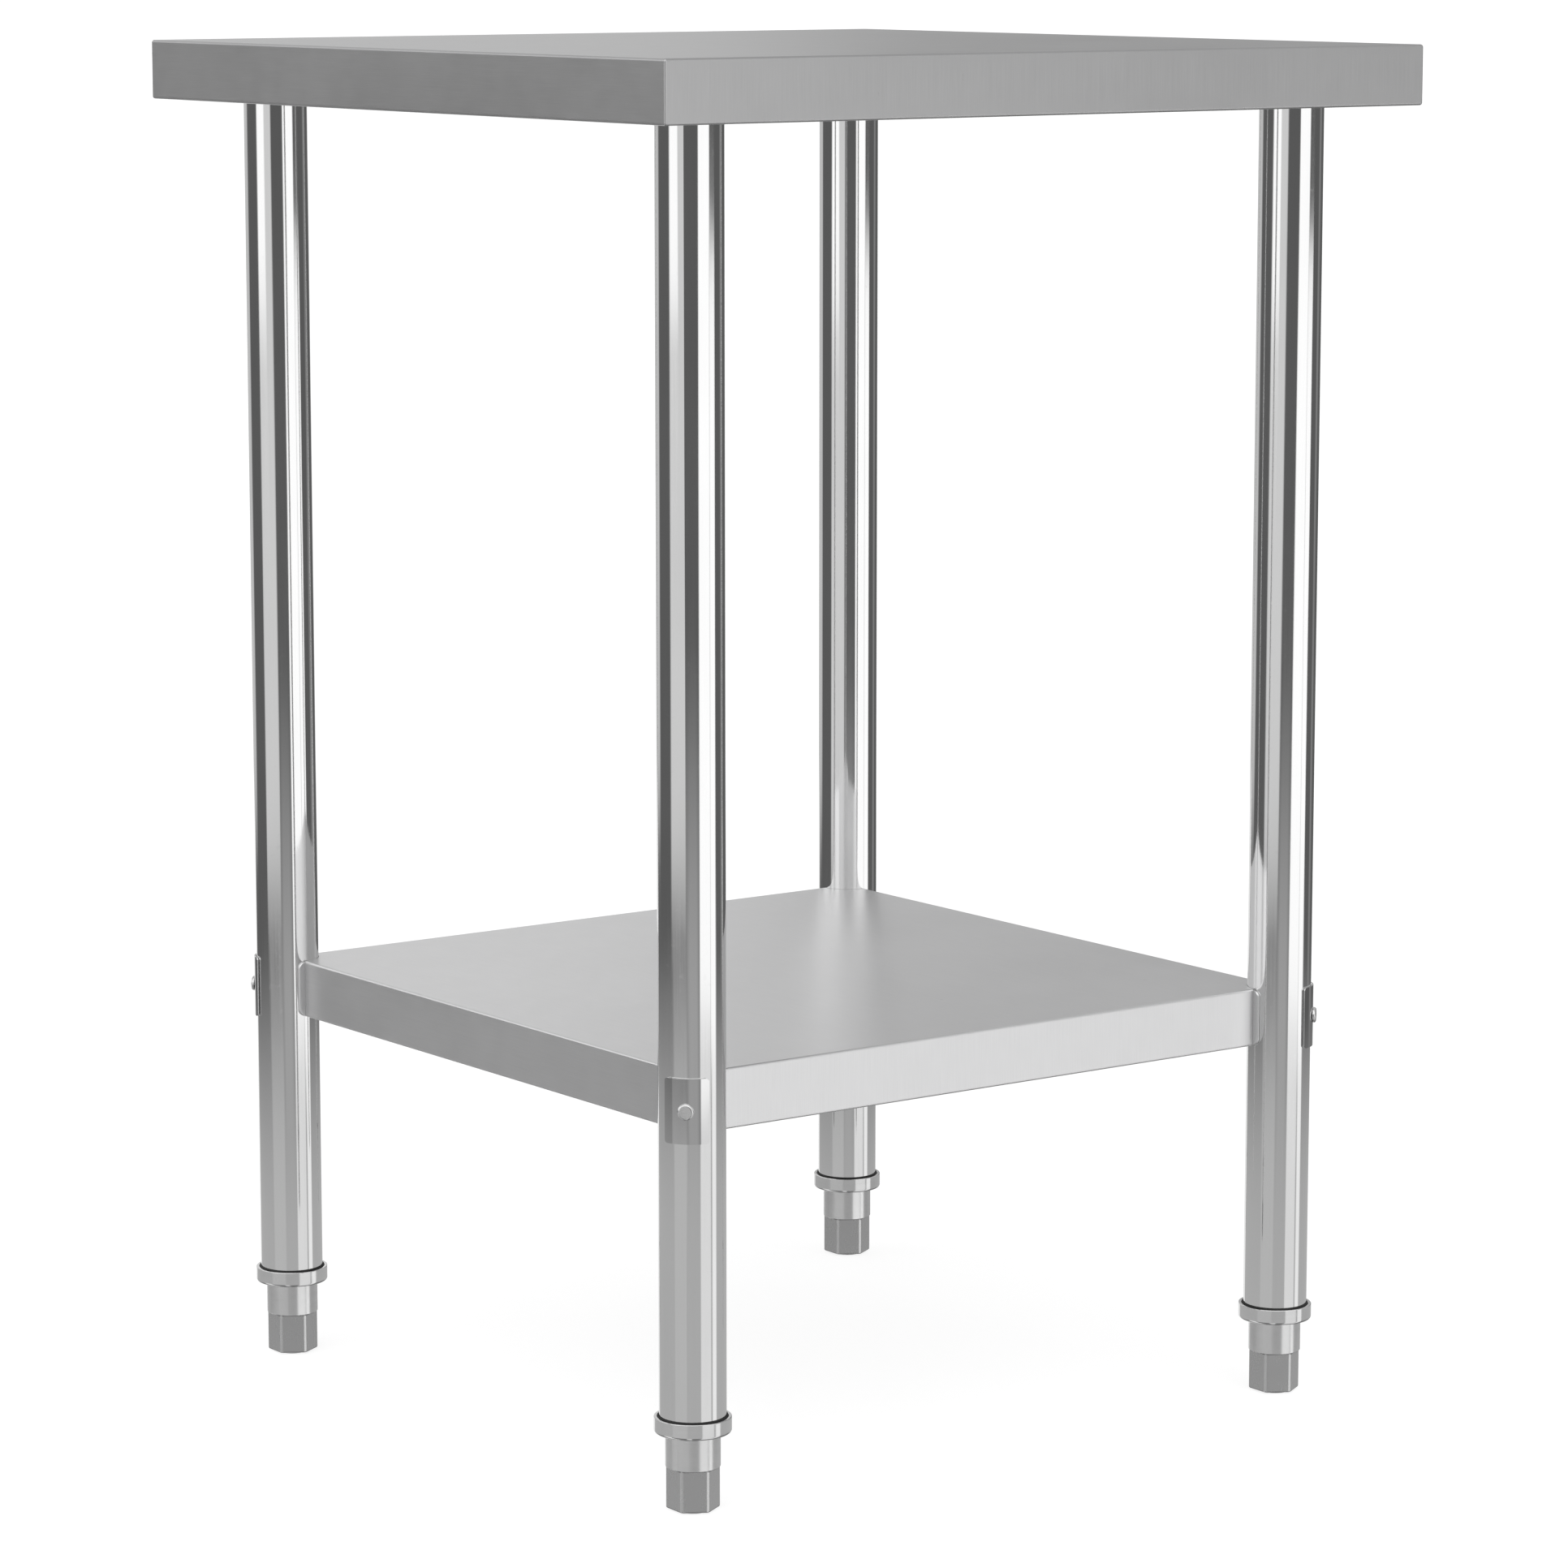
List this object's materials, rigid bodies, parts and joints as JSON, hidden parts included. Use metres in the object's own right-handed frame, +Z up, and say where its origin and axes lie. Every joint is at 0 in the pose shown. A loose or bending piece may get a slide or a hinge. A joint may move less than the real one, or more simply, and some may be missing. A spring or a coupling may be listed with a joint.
{
  "type": "work table",
  "caption": "Stainless steel work table: square folded worktop on round tube legs, a solid undershelf clamped to the legs, and hexagonal screw levelling feet.",
  "frame": {"origin": "on the floor under the middle of the table", "axes": "+Z up; +X from the front skirt to the back one, +Y to the left seen from the front; both sides are equal"},
  "size_m": [0.6, 0.6, 0.9],
  "materials": {
    "satin_stainless": "satin, fine straight grain",
    "polished_stainless": "bright polished tube",
    "turned_stainless": "fine turned and milled",
    "galvanised_steel": "galvanised, dull spangle",
    "cast_aluminium": "as cast, fine blasted",
    "fastener_steel": "bright stainless fasteners",
    "glide_plastic": "moulded, matt",
    "seal_rubber": "moulded, matt black"
  },
  "bodies": {
    "table": {"top_sheet": "satin_stainless", "shelf_sheet": "satin_stainless", "top_channel_front": "galvanised_steel", "top_channel_back": "galvanised_steel", "shelf_channel": "galvanised_steel", "top_channel_studs": "fastener_steel", "top_channel_nuts": "fastener_steel", "socket_screws": "fastener_steel", "socket_nuts": "fastener_steel", "socket_set_screws": "fastener_steel", "clamp_bolts": "fastener_steel", "clamp_washers": "fastener_steel", "clamp_nuts": "fastener_steel", "leg_socket_front_right": "cast_aluminium", "leg_front_right": "polished_stainless", "shelf_corner_front_right": "satin_stainless", "clamp_saddle_front_right": "polished_stainless", "foot_insert_front_right": "turned_stainless", "tube_seal_front_right": "seal_rubber", "leg_socket_front_left": "cast_aluminium", "leg_front_left": "polished_stainless", "shelf_corner_front_left": "satin_stainless", "clamp_saddle_front_left": "polished_stainless", "foot_insert_front_left": "turned_stainless", "tube_seal_front_left": "seal_rubber", "leg_socket_back_right": "cast_aluminium", "leg_back_right": "polished_stainless", "shelf_corner_back_right": "satin_stainless", "clamp_saddle_back_right": "polished_stainless", "foot_insert_back_right": "turned_stainless", "tube_seal_back_right": "seal_rubber", "leg_socket_back_left": "cast_aluminium", "leg_back_left": "polished_stainless", "shelf_corner_back_left": "satin_stainless", "clamp_saddle_back_left": "polished_stainless", "foot_insert_back_left": "turned_stainless", "tube_seal_back_left": "seal_rubber"},
    "glide_front_right": {"foot_glide_front_right": "glide_plastic"},
    "foot_front_right": {"foot_hex_front_right": "turned_stainless", "foot_stud_front_right": "fastener_steel"},
    "glide_front_left": {"foot_glide_front_left": "glide_plastic"},
    "foot_front_left": {"foot_hex_front_left": "turned_stainless", "foot_stud_front_left": "fastener_steel"},
    "glide_back_right": {"foot_glide_back_right": "glide_plastic"},
    "foot_back_right": {"foot_hex_back_right": "turned_stainless", "foot_stud_back_right": "fastener_steel"},
    "glide_back_left": {"foot_glide_back_left": "glide_plastic"},
    "foot_back_left": {"foot_hex_back_left": "turned_stainless", "foot_stud_back_left": "fastener_steel"}
  },
  "joints": [
    {"name": "height_front_right", "type": "slide", "parent": "table", "child": "glide_front_right", "axis": [0, 0, -1], "range_m": [0, 0.025]},
    {"name": "turn_front_right", "type": "hinge", "parent": "glide_front_right", "child": "foot_front_right", "pos_m": [-0.24, -0.24, 0], "axis": [0, 0, -1], "range_deg": [0, 4500.5]},
    {"name": "height_front_left", "type": "slide", "parent": "table", "child": "glide_front_left", "axis": [0, 0, -1], "range_m": [0, 0.025]},
    {"name": "turn_front_left", "type": "hinge", "parent": "glide_front_left", "child": "foot_front_left", "pos_m": [-0.24, 0.24, 0], "axis": [0, 0, -1], "range_deg": [0, 4500.5]},
    {"name": "height_back_right", "type": "slide", "parent": "table", "child": "glide_back_right", "axis": [0, 0, -1], "range_m": [0, 0.025]},
    {"name": "turn_back_right", "type": "hinge", "parent": "glide_back_right", "child": "foot_back_right", "pos_m": [0.24, -0.24, 0], "axis": [0, 0, -1], "range_deg": [0, 4500.5]},
    {"name": "height_back_left", "type": "slide", "parent": "table", "child": "glide_back_left", "axis": [0, 0, -1], "range_m": [0, 0.025]},
    {"name": "turn_back_left", "type": "hinge", "parent": "glide_back_left", "child": "foot_back_left", "pos_m": [0.24, 0.24, 0], "axis": [0, 0, -1], "range_deg": [0, 4500.5]}
  ],
  "couplings": [
    {"joint": "turn_front_right", "follows": "height_front_right", "rad_per_m": 3141.6},
    {"joint": "turn_front_left", "follows": "height_front_left", "rad_per_m": 3141.6},
    {"joint": "turn_back_right", "follows": "height_back_right", "rad_per_m": 3141.6},
    {"joint": "turn_back_left", "follows": "height_back_left", "rad_per_m": 3141.6}
  ]
}
